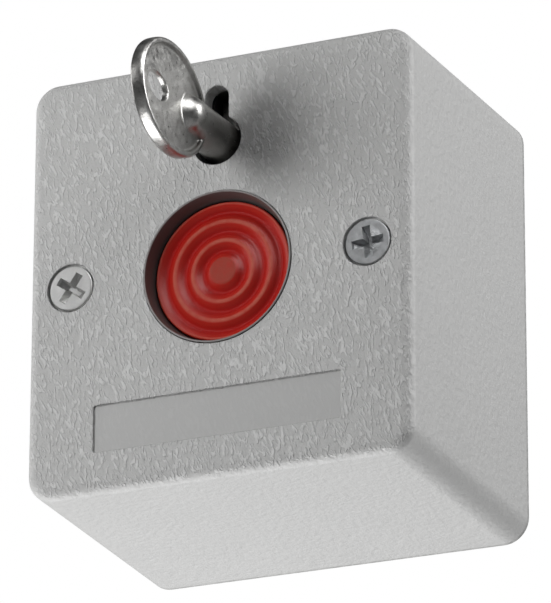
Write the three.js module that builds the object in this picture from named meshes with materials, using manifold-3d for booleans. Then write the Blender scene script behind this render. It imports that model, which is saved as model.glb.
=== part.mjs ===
// A wall-mounted hold-up push button with a key reset: a moulded box, a ridged red button in a black
// collar, a bit key in a keyhole, and inside it a latch, a return spring and a changeover contact.
//
// Millimetres. X runs to the right of someone facing the box, Y runs into the wall, Z is up.
// The origin is the middle of the box's back, on the wall, so the front face is at y = -depth.

import * as THREE from "three";
import { mergeVertices } from "three/addons/utils/BufferGeometryUtils.js";
import Module from "manifold-3d";

const wasm = await Module();
wasm.setup();

// ---------------------------------------------------------------- driving dimensions

const GAP = 0.3; // between pieces that touch or are cut to fit each other
const ROUND = 36; // sides of a round that shows
const SMALL = 16; // sides of a small round

const BOX = {
  width: 54,
  height: 58.5,
  depth: 38,
  frontWidth: 53,
  frontHeight: 56.9,
  cornerRadius: 3.4,
  edgeRadius: 1.5,
  wall: 2.2,
};
const FRONT = -BOX.depth; // y of the front face
const INNER_FRONT = FRONT + BOX.wall; // y of the inside of the front wall

const LABEL = { width: 34.1, height: 6.35, z: -20.02, depth: 0.3 };

const COVER_SCREW = {
  x: 20.57,
  z: -0.4,
  headRadius: 3.0,
  headDepth: 0.15, // below the front face
  headEdge: 0.25, // straight edge of the head above its cone
  shankRadius: 1.45,
  length: 13.85,
  recessRadius: 3.28,
  recessDepth: 0.45,
  crossLength: 4.3,
  crossWidth: 1.1,
  crossDepth: 1.1,
  turns: { left: 34, right: -6 }, // degrees that each cross stands turned
};

const BUTTON = {
  z: -0.55,
  radius: 9.3,
  faceDepth: 1.7, // the ridge tops lie this far below the front face
  ridges: [[0, 1.95], [3.75, 4.5], [6.3, 7.05], [8.85, 9.3]], // inner and outer radius of each flat top
  grooveDepth: 0.7,
  grooveSteps: 3,
  skirtRadius: 7.6,
  skirtEnd: -30.7, // clear of the frame's middle wall when the button is pressed in
  roofY: -34.2,
  bossRadius: 2.9,
  bossEnd: -31,
};

const COLLAR = {
  outer: 10.05,
  inner: 9.6,
  mouth: 9.85, // the inside widens to this radius at the front
  mouthDepth: 1.5,
  proud: 0.2, // of the front face
  flange: 11.9,
  rear: -31.9,
};

const PLUNGER = {
  stem: 1.9,
  front: -33.6,
  headRadius: 4.0,
  headFront: -25.0,
  headRear: -20.6,
  tailRadius: 1.8,
  tipRadius: 0.8,
  tipY: -13.0,
};

const KEY = {
  x: -0.2,
  z: 16.74,
  holeRadius: 3.37,
  slotWidth: 3.3,
  slotTop: 24.25,
  tipY: -24,
  shankRadius: 2.75,
  neckRadius: 2.5,
  domeReach: 11.5, // from the front face to the tip of the shank's dome
  bowCentre: 14.3, // from the front face
  bowRise: 0.2, // above the shank's axis
  bowLong: 9.6,
  bowShort: 7.35,
  bowThick: 1.9,
  rimWidth: 0.85,
  webThick: 0.9,
  ringHoleY: 4.1, // from the bow's centre, outwards
  ringHoleZ: 0.05,
  ringHoleLong: 2.9,
  ringHoleShort: 1.75,
  bitReach: 6.9,
  bitThick: 2.4,
  bitFront: -33.6,
  bitRear: -26,
};

const ROTOR = {
  radius: 4.8,
  front: -35.3,
  rear: -21.0,
  bore: 3.05,
  boreEnd: -23.4,
  slotWidth: 3.0,
  slotEnd: -25.2,
  jawWidth: 6.4,
  jawReach: 7.6,
  camFront: -24.7,
  camRear: -21.7,
  camRisePerDegree: 2 / 90,
  camSpan: 105, // degrees
  camStep: 7.5, // degrees
  journalRadius: 2.0,
  journalEnd: -14.5,
};

const LATCH = {
  front: -24.0,
  rear: -22.4,
  halfWidth: 7,
  bottom: -10.6,
  top: 8.8,
  windowHalf: 4.6,
  windowBottom: BUTTON.z - PLUNGER.headRadius - GAP,
  windowTop: 6.3,
  railBottom: -10,
  railTop: 9,
  noseHalf: 1.2,
  noseTop: KEY.z - ROTOR.radius - 0.5,
};

const FRAME = {
  halfWidth: 15.5,
  wall: 1.8,
  front: -33.9,
  frontWall: 2,
  frontTop: 11,
  frontBottom: -12,
  sideTop: 10,
  sideBottom: -11,
  midFront: -26.8,
  midRear: -25.3,
  stemHole: 2.6,
  baseFront: -5.0,
  baseBottom: -13,
  baseTop: 13.5,
  columnHalf: 5,
  columnBottom: 12.6,
  columnTop: 20.9,
  earInner: 8.5,
  earOuter: 14.5,
  earTop: 20,
  screwX: 11.5,
  screwZ: 17,
  arms: { front: -23, rear: -9, bottom: -7, top: 6 }, // opening in each side wall
  springSeat: { half: 4, thick: 1.4, rear: -21.2, top: 0 },
};

const PLATE = {
  thick: 2.5,
  cornerRadius: 1.3,
  pillarRadius: 3.4,
  pillarEnd: -34.1,
  pilotRadius: 1.75,
  pilotEnd: -22,
  slotWidth: 3.8,
  slotLength: 8,
  levelSlot: { x: 18.5, z: 20 },
  uprightSlot: { x: -20, z: -19 },
  cable: { x0: 15.2, x1: 22.6, z0: -24.2, z1: -10.2, radius: 2 },
};
const PLATE_FRONT = -PLATE.thick;

const BLOCK = {
  halfWidth: 14.8,
  bottom: -25.2,
  top: -14.8,
  front: -10.5,
  screwX: 12.2,
  screwZ: -20,
  screwRecess: 2.2,
  fence: { half: 0.6, front: -13.8, bottomInset: 0.8, topInset: 2 }, // between the terminals
};
const TERMINAL = { spacing: 7.6, z: -20, holeRadius: 1.7, shankRadius: 1.4, headRadius: 2.0, shankEnd: -6 };
const STRIP = { half: 2, thick: 0.8, front: -11.6, footBottom: -24, topBottom: 4.2, top: 6.8 };
const CLAMP = { half: 2.2, front: -12.9, thick: 1.0, halfHeight: 2.6 };

// Pan-head screws: the frame's and the terminal block's into the back plate, and the terminals'.
const SCREW_HOLE = 1.4;
const FRAME_SCREW = { headRadius: 2.4, headHeight: 1.6, shankRadius: 1.1, shankEnd: -0.6 };
const BLOCK_SCREW = { headRadius: 1.9, headHeight: 1.5, shankRadius: 1.1, shankEnd: -0.6 };
const TERMINAL_SCREW_HEAD = 1.8;

const ARM = { y: -12.4, thick: 0.6, half: 2.5, bottom: -14.4, top: 6.5 };
const CONTACT = { closedFront: -13.8, openFront: -6.5 };

const SPRINGS = {
  button: { radius: 3.7, wire: 0.35, from: -33.55, to: -27.45, turns: 4.5, perTurn: 10, sides: 6 },
  latch: { radius: 1.6, wire: 0.22, from: -14.58, to: -11.12, turns: 3.5, perTurn: 8, sides: 6 },
  contact: { radius: 1.8, wire: 0.2, from: -11.6, to: -5.5, turns: 5, perTurn: 8, sides: 6, z: -4 },
};

// ---------------------------------------------------------------- shapes and solids

function toSolid(geometry) {
  const bare = geometry.clone();
  bare.deleteAttribute("normal");
  bare.deleteAttribute("uv");
  const merged = mergeVertices(bare, 1e-4);
  return new wasm.Manifold(
    new wasm.Mesh({
      numProp: 3,
      vertProperties: merged.attributes.position.array,
      triVerts: new Uint32Array(merged.index.array),
    }),
  );
}

function toGeometry(solid) {
  const mesh = solid.getMesh();
  const geometry = new THREE.BufferGeometry();
  geometry.setAttribute("position", new THREE.BufferAttribute(new Float32Array(mesh.vertProperties), 3));
  geometry.setIndex(new THREE.BufferAttribute(new Uint32Array(mesh.triVerts), 1));
  geometry.computeVertexNormals();
  return geometry;
}

function join(...geometries) {
  return toGeometry(geometries.map(toSolid).reduce((sum, next) => sum.add(next)));
}

function cut(geometry, ...tools) {
  return toGeometry(tools.map(toSolid).reduce((rest, tool) => rest.subtract(tool), toSolid(geometry)));
}

function common(a, b) {
  return toGeometry(toSolid(a).intersect(toSolid(b)));
}

// A straight-sided block between two limits along each axis.
function block(x0, x1, y0, y1, z0, z1) {
  const geometry = new THREE.BoxGeometry(x1 - x0, y1 - y0, z1 - z0);
  return geometry.translate((x0 + x1) / 2, (y0 + y1) / 2, (z0 + z1) / 2);
}

// A round bar or hole along Y.
function rod(x, z, radius, y0, y1, sides = SMALL) {
  const geometry = new THREE.CylinderGeometry(radius, radius, y1 - y0, sides);
  return geometry.translate(x, (y0 + y1) / 2, z);
}

// A turned piece about an axis along Y. The profile lists [radius, y], from the front to the back.
function turned(profile, x, z, sides = SMALL) {
  const points = profile.map(([radius, y]) => new THREE.Vector2(radius, y));
  return new THREE.LatheGeometry(points, sides).translate(x, 0, z);
}

// A plate with an outline in X and Z, from yFront back to yBack.
function slab(shape, yFront, yBack, curveSegments = 6) {
  const options = { depth: yBack - yFront, bevelEnabled: false, curveSegments };
  return new THREE.ExtrudeGeometry(shape, options).rotateX(Math.PI / 2).translate(0, yBack, 0);
}

function roundedRect(width, height, radius, x = 0, z = 0) {
  const [a, b] = [width / 2 - radius, height / 2 - radius];
  const shape = new THREE.Shape();
  shape.absarc(x + a, z + b, radius, 0, Math.PI / 2);
  shape.absarc(x - a, z + b, radius, Math.PI / 2, Math.PI);
  shape.absarc(x - a, z - b, radius, Math.PI, 1.5 * Math.PI);
  shape.absarc(x + a, z - b, radius, 1.5 * Math.PI, 2 * Math.PI);
  return shape;
}

function oval(longHalf, shortHalf) {
  return new THREE.Shape().absellipse(0, 0, shortHalf, longHalf, 0, 2 * Math.PI);
}

class Helix extends THREE.Curve {
  constructor(radius, length, turns) {
    super();
    Object.assign(this, { radius, length, turns });
  }
  getPoint(t, target = new THREE.Vector3()) {
    const angle = 2 * Math.PI * this.turns * t;
    return target.set(this.radius * Math.cos(angle), this.length * t, this.radius * Math.sin(angle));
  }
}

// A coil spring along Y, starting at y = 0.
function coil({ radius, wire, from, to, turns, perTurn, sides }) {
  const section = new THREE.Shape().absarc(0, 0, wire, 0, 2 * Math.PI);
  return new THREE.ExtrudeGeometry(section, {
    steps: Math.round(turns * perTurn),
    curveSegments: sides / 2, // of each half circle
    bevelEnabled: false,
    extrudePath: new Helix(radius, to - from, turns),
  });
}

const group = new THREE.Group();

function add(name, geometry, color, roughness, metalness) {
  const mesh = new THREE.Mesh(geometry, new THREE.MeshStandardMaterial({ color, roughness, metalness }));
  mesh.name = name;
  group.add(mesh);
  return mesh;
}

const addGreyPlastic = (name, geometry) => add(name, geometry, 0xb4b4b2, 0.55, 0);
const addBlackPlastic = (name, geometry) => add(name, geometry, 0x1c1a1a, 0.3, 0);
const addWhitePlastic = (name, geometry) => add(name, geometry, 0xdedad0, 0.5, 0);
const addSteel = (name, geometry) => add(name, geometry, 0xb8b8b8, 0.3, 1);
const addBrass = (name, geometry) => add(name, geometry, 0xc2a04c, 0.35, 1);

// ---------------------------------------------------------------- front cover

// A rounded block whose sides lean in towards the front, as moulded boxes do to leave the mould.
function draftedBlock(inset, cornerRadius, edgeRadius, yFront) {
  const back = 2 * BOX.edgeRadius;
  const shape = roundedRect(BOX.width - 2 * inset, BOX.height - 2 * inset, cornerRadius);
  const geometry = new THREE.ExtrudeGeometry(shape, {
    depth: back - yFront - edgeRadius,
    bevelThickness: edgeRadius,
    bevelSize: edgeRadius,
    bevelOffset: -edgeRadius,
    bevelSegments: 3,
    curveSegments: 4,
  });
  geometry.rotateX(Math.PI / 2).translate(0, back, 0);
  const position = geometry.attributes.position;
  for (let i = 0; i < position.count; i++) {
    const share = position.getY(i) / FRONT;
    position.setX(i, position.getX(i) * (1 - share * (1 - BOX.frontWidth / BOX.width)));
    position.setZ(i, position.getZ(i) * (1 - share * (1 - BOX.frontHeight / BOX.height)));
  }
  return geometry;
}

function keyholeShape() {
  const half = KEY.slotWidth / 2;
  const shape = new THREE.Shape();
  const meet = Math.asin(half / KEY.holeRadius);
  shape.absarc(KEY.x, KEY.z, KEY.holeRadius, Math.PI / 2 + meet, Math.PI / 2 - meet + 2 * Math.PI);
  shape.absarc(KEY.x, KEY.slotTop - half, half, 0, Math.PI);
  return shape;
}

const COVER_BOSS_END = PLATE.pillarEnd - GAP; // where the cover's inner bosses meet the pillars

function frontCover() {
  const span = BOX.width;
  const behindWall = block(-span, span, FRONT - 1, 0, -span, span);
  const shell = cut(
    common(draftedBlock(0, BOX.cornerRadius, BOX.edgeRadius, FRONT), behindWall),
    draftedBlock(BOX.wall, BOX.cornerRadius - BOX.wall, 0.4, INNER_FRONT),
  );
  const bosses = [-1, 1].map((side) =>
    rod(side * COVER_SCREW.x, COVER_SCREW.z, PLATE.pillarRadius, INNER_FRONT - 1, COVER_BOSS_END),
  );
  const seats = [-1, 1].map((side) => {
    const { recessRadius, recessDepth } = COVER_SCREW;
    const coneEnd = FRONT + recessDepth + recessRadius - PLATE.pilotRadius;
    const profile = [
      [0, FRONT - 1],
      [recessRadius, FRONT - 1],
      [recessRadius, FRONT + recessDepth],
      [PLATE.pilotRadius, coneEnd],
      [PLATE.pilotRadius, COVER_BOSS_END + 1],
      [0, COVER_BOSS_END + 1],
    ];
    return turned(profile, side * COVER_SCREW.x, COVER_SCREW.z, 24);
  });
  return cut(
    join(shell, ...bosses),
    ...seats,
    rod(0, BUTTON.z, COLLAR.outer + GAP - 0.02, FRONT - 1, INNER_FRONT + 1, ROUND),
    slab(keyholeShape(), FRONT - 1, INNER_FRONT + 1, 10),
    slab(roundedRect(LABEL.width, LABEL.height, 0.4, 0, LABEL.z), FRONT - 1, FRONT + LABEL.depth, 3),
  );
}

addGreyPlastic("front_cover", frontCover());

// ---------------------------------------------------------------- back plate

// A slot with round ends for a wall screw.
function wallSlot({ x, z }, width, height) {
  return slab(roundedRect(width, height, PLATE.slotWidth / 2 - 0.01, x, z), PLATE_FRONT - 1, 1, 5);
}

function backPlate() {
  const inset = 2 * (BOX.wall + GAP);
  const outline = roundedRect(BOX.width - inset, BOX.height - inset, PLATE.cornerRadius);
  const { x0, x1, z0, z1, radius } = PLATE.cable;
  const cableEntry = roundedRect(x1 - x0, z1 - z0, radius, (x0 + x1) / 2, (z0 + z1) / 2);
  const pillars = [-1, 1].map((side) =>
    rod(side * COVER_SCREW.x, COVER_SCREW.z, PLATE.pillarRadius, PLATE.pillarEnd, PLATE_FRONT + 1),
  );
  const pilots = [-1, 1].map((side) =>
    rod(side * COVER_SCREW.x, COVER_SCREW.z, PLATE.pilotRadius, PLATE.pillarEnd - 1, PLATE.pilotEnd),
  );
  const screwHoles = [-1, 1].flatMap((side) => [
    rod(side * FRAME.screwX, FRAME.screwZ, SCREW_HOLE, PLATE_FRONT - 1, 1),
    rod(side * BLOCK.screwX, BLOCK.screwZ, SCREW_HOLE, PLATE_FRONT - 1, 1),
  ]);
  return cut(
    join(slab(outline, PLATE_FRONT, 0), ...pillars),
    ...pilots,
    ...screwHoles,
    slab(cableEntry, PLATE_FRONT - 1, 1),
    wallSlot(PLATE.levelSlot, PLATE.slotLength, PLATE.slotWidth),
    wallSlot(PLATE.uprightSlot, PLATE.slotWidth, PLATE.slotLength),
  );
}

addGreyPlastic("back_plate", backPlate());

// ---------------------------------------------------------------- cover screws

// A crossed recess for a screwdriver, cut into a head whose top is at yTop.
function crossRecess(x, z, yTop, length, width, depth, degrees) {
  const bar = block(-length / 2, length / 2, yTop - 1, yTop + depth, -width / 2, width / 2);
  const turn = THREE.MathUtils.degToRad(degrees);
  return [turn, turn + Math.PI / 2].map((angle) => bar.clone().rotateY(angle).translate(x, 0, z));
}

function coverScrew(side, degrees) {
  const { x, z, headRadius, headDepth, headEdge, shankRadius, length } = COVER_SCREW;
  const top = FRONT + headDepth;
  const rim = top + headEdge;
  const profile = [
    [0, top],
    [headRadius, top],
    [headRadius, rim],
    [shankRadius, rim + headRadius - shankRadius],
    [shankRadius, top + length - 1],
    [0, top + length],
  ];
  const { crossLength, crossWidth, crossDepth } = COVER_SCREW;
  return cut(
    turned(profile, side * x, z, 20),
    ...crossRecess(side * x, z, top, crossLength, crossWidth, crossDepth, degrees),
  );
}

addSteel("cover_screw_left", coverScrew(-1, COVER_SCREW.turns.left));
addSteel("cover_screw_right", coverScrew(1, COVER_SCREW.turns.right));

// ---------------------------------------------------------------- button and its collar

// The collar is a short tube that the button slides in; its flange lies behind the cover's front wall.
function buttonCollar() {
  const { outer, inner, mouth, mouthDepth, proud, flange, rear } = COLLAR;
  const top = FRONT - proud;
  const profile = [
    [inner, top + mouthDepth],
    [mouth, top],
    [outer, top],
    [outer, INNER_FRONT + GAP],
    [flange, INNER_FRONT + GAP],
    [flange, FRAME.front - GAP],
    [outer, FRAME.front - GAP],
    [outer, rear],
    [inner, rear],
    [inner, top + mouthDepth],
  ];
  return turned(profile, 0, BUTTON.z, ROUND);
}

// The face has flat-topped rings with round-bottomed grooves between them.
function faceProfile() {
  const tops = FRONT + BUTTON.faceDepth;
  const points = [];
  BUTTON.ridges.forEach(([inner, outer], i) => {
    points.push([inner, tops], [outer, tops]);
    const next = BUTTON.ridges[i + 1];
    if (!next) return;
    for (let step = 1; step < BUTTON.grooveSteps; step++) {
      const share = step / BUTTON.grooveSteps;
      const y = tops + BUTTON.grooveDepth * Math.sin(Math.PI * share);
      points.push([outer + (next[0] - outer) * share, y]);
    }
  });
  return points;
}

function redButton() {
  const { radius, skirtRadius, skirtEnd, roofY, bossRadius, bossEnd } = BUTTON;
  const socket = PLUNGER.stem + GAP;
  const profile = [
    ...faceProfile(),
    [radius, skirtEnd],
    [skirtRadius, skirtEnd],
    [skirtRadius, roofY],
    [bossRadius, roofY],
    [bossRadius, bossEnd],
    [socket, bossEnd],
    [socket, PLUNGER.front - GAP],
    [0, PLUNGER.front - GAP],
  ];
  return turned(profile, 0, BUTTON.z, ROUND);
}

// The plunger carries the button. Its thick head is what the latch hooks in front of.
function plunger() {
  const { stem, front, headRadius, headFront, headRear, tailRadius, tipRadius, tipY } = PLUNGER;
  const profile = [
    [0, front],
    [stem, front],
    [stem, headFront],
    [headRadius, headFront],
    [headRadius, headRear - 1],
    [tailRadius + 0.6, headRear],
    [tailRadius, headRear],
    [tailRadius, tipY - 0.8],
    [tipRadius, tipY],
    [0, tipY],
  ];
  return turned(profile, 0, BUTTON.z);
}

addBlackPlastic("button_collar", buttonCollar());
add("red_button", redButton(), 0xb01a1c, 0.45, 0);
addWhitePlastic("plunger", plunger());

const buttonSpring = SPRINGS.button;
addSteel("return_spring", coil(buttonSpring).translate(0, buttonSpring.from, BUTTON.z));

// ---------------------------------------------------------------- mechanism frame

function mechanismFrame() {
  const f = FRAME;
  const back = PLATE_FRONT - GAP;
  const w = f.halfWidth;
  const columnX = [KEY.x - f.columnHalf, KEY.x + f.columnHalf];
  const seatTop = SPRINGS.latch.from - SPRINGS.latch.wire - GAP;
  const { half, thick, rear, top } = f.springSeat;
  const solids = [
    block(-w, w, f.baseFront, back, f.baseBottom, f.baseTop),
    block(-w, w, f.front, f.front + f.frontWall, f.frontBottom, f.frontTop),
    block(1 - w, w - 1, f.midFront, f.midRear, f.sideBottom, f.sideTop),
    block(-half, half, f.midFront, f.midRear, seatTop - thick, top),
    block(-half, half, f.midFront, rear, seatTop - thick, seatTop),
    block(...columnX, ROTOR.rear + GAP, back, f.columnBottom, f.columnTop),
  ];
  for (const side of [-1, 1]) {
    const across = (from, to) => (side > 0 ? [from, to] : [-to, -from]);
    const rail = across(LATCH.halfWidth + GAP, LATCH.halfWidth + 2);
    const lip = across(LATCH.halfWidth - 1.2, LATCH.halfWidth + 2);
    solids.push(
      block(...across(w - f.wall, w), f.front + 1, back, f.sideBottom, f.sideTop),
      block(...across(f.earInner, f.earOuter), f.baseFront, back, f.baseTop - 1, f.earTop),
      block(...rail, f.midRear - 0.5, LATCH.rear + 1, LATCH.railBottom, LATCH.railTop),
      block(...lip, LATCH.rear + GAP, LATCH.rear + 1.4, LATCH.railBottom, LATCH.railTop),
    );
  }
  const screwHoles = [-1, 1].map((side) =>
    rod(side * f.screwX, f.screwZ, SCREW_HOLE, f.baseFront - 1, back + 1),
  );
  return cut(
    join(...solids),
    ...screwHoles,
    rod(0, BUTTON.z, COLLAR.outer + GAP, f.front - 1, f.front + f.frontWall + 1, ROUND),
    rod(0, BUTTON.z, f.stemHole, f.midFront - 1, f.midRear + 1),
    rod(KEY.x, KEY.z, ROTOR.journalRadius + GAP, ROTOR.rear - 1, ROTOR.journalEnd + 0.5),
    block(-w - 1, w + 1, f.arms.front, f.arms.rear, f.arms.bottom, f.arms.top),
  );
}

addBlackPlastic("mechanism_frame", mechanismFrame());

// A pan-head screw that points into the box, with a crossed recess.
function panScrew(x, z, headRear, { headRadius, headHeight, shankRadius, shankEnd }) {
  const headTop = headRear - headHeight;
  const profile = [
    [0, headTop],
    [headRadius * 0.7, headTop],
    [headRadius, headTop + headHeight * 0.4],
    [headRadius, headTop + headHeight],
    [shankRadius, headTop + headHeight],
    [shankRadius, shankEnd],
    [0, shankEnd],
  ];
  const recess = crossRecess(x, z, headTop, headRadius * 1.2, 0.6, headHeight * 0.6, 45);
  return cut(turned(profile, x, z), ...recess);
}

const frameScrewSeat = FRAME.baseFront - GAP;
addSteel("frame_screw_left", panScrew(-FRAME.screwX, FRAME.screwZ, frameScrewSeat, FRAME_SCREW));
addSteel("frame_screw_right", panScrew(FRAME.screwX, FRAME.screwZ, frameScrewSeat, FRAME_SCREW));

// ---------------------------------------------------------------- latch

// A sliding plate with a window round the plunger's head. The window's lower edge is the catch.
function latchSlider() {
  const l = LATCH;
  const plate = join(
    block(-l.halfWidth, l.halfWidth, l.front, l.rear, l.bottom, l.top),
    block(KEY.x - l.noseHalf, KEY.x + l.noseHalf, l.front, l.rear, l.top - 1, l.noseTop),
  );
  const window = [-l.windowHalf, l.windowHalf, l.front - 1, l.rear + 1, l.windowBottom, l.windowTop];
  return cut(plate, block(...window));
}

addSteel("latch_slider", latchSlider());

const latchSpring = SPRINGS.latch;
const latchMiddle = (LATCH.front + LATCH.rear) / 2;
addSteel(
  "latch_spring",
  coil(latchSpring).rotateX(Math.PI / 2).translate(0, latchMiddle, latchSpring.from),
);

// ---------------------------------------------------------------- key rotor

// The cam's radius grows evenly with the angle, from straight down round to the right and a little past
// it, so that an even turn of the key gives an even stroke of the latch.
function camShape() {
  const shape = new THREE.Shape().moveTo(0, 0);
  for (let angle = 0; angle <= ROTOR.camSpan; angle += ROTOR.camStep) {
    const radius = ROTOR.radius + angle * ROTOR.camRisePerDegree;
    const a = THREE.MathUtils.degToRad(angle);
    shape.lineTo(radius * Math.sin(a), -radius * Math.cos(a));
  }
  return shape;
}

function keyRotor() {
  const r = ROTOR;
  const body = join(
    rod(0, 0, r.radius, r.front, r.rear, 32),
    rod(0, 0, r.journalRadius, r.rear - 1, r.journalEnd),
    block(-r.jawWidth / 2, r.jawWidth / 2, r.front, r.slotEnd, 0, r.jawReach),
    slab(camShape(), r.camFront, r.camRear),
  );
  const slot = [-r.slotWidth / 2, r.slotWidth / 2, r.front - 1, r.slotEnd, 0, r.jawReach + 1];
  const hollowed = cut(body, rod(0, 0, r.bore, r.front - 1, r.boreEnd, 24), block(...slot));
  return hollowed.translate(KEY.x, 0, KEY.z);
}

addBlackPlastic("key_rotor", keyRotor());

// ---------------------------------------------------------------- key

// A plate whose outline lies in Y and Z, centred on x = 0.
function uprightPlate(shape, thick, curveSegments) {
  const options = { depth: thick, bevelEnabled: false, curveSegments };
  return new THREE.ExtrudeGeometry(shape, options).translate(0, 0, -thick / 2).rotateY(Math.PI / 2);
}

function key() {
  const k = KEY;
  const panel = FRONT; // the key's own distances are measured out from the cover's face
  const bowY = panel - k.bowCentre;
  const neckY = panel - k.domeReach + k.neckRadius;
  const dome = [];
  for (let step = 0; step <= 5; step++) {
    const a = (Math.PI / 2) * (step / 5);
    dome.push([k.neckRadius * Math.sin(a), neckY - k.neckRadius * Math.cos(a)]);
  }
  dome[0][0] = 0;
  const shank = turned(
    [
      ...dome,
      [k.shankRadius, panel],
      [k.shankRadius, k.tipY - 0.5],
      [k.shankRadius - 0.5, k.tipY],
      [0, k.tipY],
    ],
    0,
    0,
    20,
  );
  const rim = cut(
    uprightPlate(oval(k.bowLong, k.bowShort), k.bowThick, 16),
    uprightPlate(oval(k.bowLong - k.rimWidth, k.bowShort - k.rimWidth), k.bowThick + 1, 16),
  );
  const web = uprightPlate(oval(k.bowLong - 0.3, k.bowShort - 0.3), k.webThick, 16);
  const ringHole = uprightPlate(oval(k.ringHoleLong, k.ringHoleShort), k.bowThick + 1, 8);
  const bow = join(rim, web).translate(0, bowY, k.bowRise);
  const half = k.bitThick / 2;
  const bit = block(-half, half, k.bitFront, k.bitRear, 0, k.bitReach);
  const ringHoleZ = k.bowRise + k.ringHoleZ;
  const whole = cut(join(bow, shank, bit), ringHole.translate(0, bowY - k.ringHoleY, ringHoleZ));
  return whole.translate(k.x, 0, k.z);
}

add("key", key(), 0xc9c9c6, 0.22, 1);

// ---------------------------------------------------------------- contacts and terminals

const STRIP_REAR = STRIP.front + STRIP.thick;

// The foot of a contact strip, with its screw hole, standing on the terminal block.
function stripFoot(x, top) {
  const foot = block(x - STRIP.half, x + STRIP.half, STRIP.front, STRIP_REAR, STRIP.footBottom, top);
  return cut(foot, rod(x, TERMINAL.z, TERMINAL.holeRadius, STRIP.front - 1, STRIP_REAR + 1));
}

// The contact that the arm rests against while the button is out.
function closedContact() {
  const x = -TERMINAL.spacing;
  const { closedFront } = CONTACT;
  return join(
    stripFoot(x, STRIP.top),
    block(x - STRIP.half, x + STRIP.half, closedFront, STRIP_REAR, STRIP.topBottom, STRIP.top),
    block(x, ARM.half, closedFront, closedFront + STRIP.thick, STRIP.topBottom, STRIP.top),
  );
}

// The contact that the arm meets when the button is pressed.
function openContact() {
  const x = TERMINAL.spacing;
  const { openFront } = CONTACT;
  const openRear = openFront + STRIP.thick;
  const jog = FRAME.baseBottom;
  return join(
    stripFoot(x, jog + STRIP.thick),
    block(x - STRIP.half, x + STRIP.half, STRIP.front, openRear, jog, jog + STRIP.thick),
    block(x - STRIP.half, x + STRIP.half, openFront, openRear, jog, STRIP.top),
    block(-ARM.half, x, openFront, openRear, STRIP.topBottom, STRIP.top),
  );
}

// The middle strip carries the seat that the contact arm rocks on.
function commonContact() {
  const seatTop = ARM.bottom - GAP;
  return join(
    stripFoot(0, ARM.bottom + 1.5),
    block(-STRIP.half, STRIP.half, ARM.y - 1, STRIP_REAR, seatTop - STRIP.thick, seatTop),
  );
}

function contactArm() {
  const front = ARM.y - ARM.thick / 2;
  return block(-ARM.half, ARM.half, front, front + ARM.thick, ARM.bottom, ARM.top);
}

function terminalBlock() {
  const b = BLOCK;
  const back = PLATE_FRONT - GAP;
  const holes = [-1, 0, 1].map((n) =>
    rod(n * TERMINAL.spacing, TERMINAL.z, TERMINAL.holeRadius, b.front - 4, TERMINAL.shankEnd + 0.5),
  );
  const seats = [-1, 1].flatMap((side) => [
    rod(side * b.screwX, b.screwZ, b.screwRecess, b.front - 1, FRAME.baseFront - 1),
    rod(side * b.screwX, b.screwZ, SCREW_HOLE, b.front, back + 1),
  ]);
  const { half, front, bottomInset, topInset } = b.fence;
  const fences = [-1, 1].map((side) => {
    const x = (side * TERMINAL.spacing) / 2;
    return block(x - half, x + half, front, b.front + 0.5, b.bottom + bottomInset, b.top - topInset);
  });
  const body = block(-b.halfWidth, b.halfWidth, b.front, back, b.bottom, b.top);
  return cut(join(body, ...fences), ...holes, ...seats);
}

function wireClamp(x) {
  const { half, front, thick, halfHeight } = CLAMP;
  const [z0, z1] = [TERMINAL.z - halfHeight, TERMINAL.z + halfHeight];
  const plate = block(x - half, x + half, front, front + thick, z0, z1);
  return cut(plate, rod(x, TERMINAL.z, TERMINAL.holeRadius, front - 1, front + thick + 1));
}

addBlackPlastic("terminal_block", terminalBlock());
addBrass("closed_contact", closedContact());
addBrass("open_contact", openContact());
addBrass("common_contact", commonContact());
addBrass("contact_arm", contactArm());

const contactSpring = SPRINGS.contact;
addSteel("contact_spring", coil(contactSpring).translate(0, contactSpring.from, contactSpring.z));

["closed", "common", "open"].forEach((terminal, i) => {
  const x = (i - 1) * TERMINAL.spacing;
  const sizes = { ...TERMINAL, headHeight: TERMINAL_SCREW_HEAD };
  addSteel(`wire_clamp_${terminal}`, wireClamp(x));
  addBrass(`terminal_screw_${terminal}`, panScrew(x, TERMINAL.z, CLAMP.front - GAP, sizes));
});

const blockScrewSeat = FRAME.baseFront - 1 - GAP;
addSteel("block_screw_left", panScrew(-BLOCK.screwX, BLOCK.screwZ, blockScrewSeat, BLOCK_SCREW));
addSteel("block_screw_right", panScrew(BLOCK.screwX, BLOCK.screwZ, blockScrewSeat, BLOCK_SCREW));

export default group;
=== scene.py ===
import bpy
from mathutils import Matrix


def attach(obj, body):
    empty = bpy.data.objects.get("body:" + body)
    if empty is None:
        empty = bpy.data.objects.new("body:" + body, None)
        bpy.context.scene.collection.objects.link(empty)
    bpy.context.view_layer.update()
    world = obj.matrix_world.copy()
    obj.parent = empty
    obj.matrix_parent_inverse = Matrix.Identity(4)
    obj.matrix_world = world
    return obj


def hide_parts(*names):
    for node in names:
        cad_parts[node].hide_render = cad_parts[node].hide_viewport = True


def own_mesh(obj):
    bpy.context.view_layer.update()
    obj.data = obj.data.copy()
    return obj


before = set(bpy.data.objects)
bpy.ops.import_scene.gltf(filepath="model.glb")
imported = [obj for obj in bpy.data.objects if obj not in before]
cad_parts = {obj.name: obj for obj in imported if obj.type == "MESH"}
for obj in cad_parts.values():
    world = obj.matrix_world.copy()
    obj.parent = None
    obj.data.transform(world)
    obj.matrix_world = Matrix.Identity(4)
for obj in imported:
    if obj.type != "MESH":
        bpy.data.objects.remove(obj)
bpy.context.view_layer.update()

from math import asin, copysign, cos, degrees, pi, radians, sin

import bmesh
import bpy
from mathutils import Matrix, Vector

mm = 0.001

# ------------------------------------------------------------------ studio
# The box hangs in a bright white studio. A long lens looks up at it from the right, a soft light stands at its left,
# others light its right side, its underside and its edges from above, two white cards show in what is glossy, and a
# pale floor lies well below it.

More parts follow.
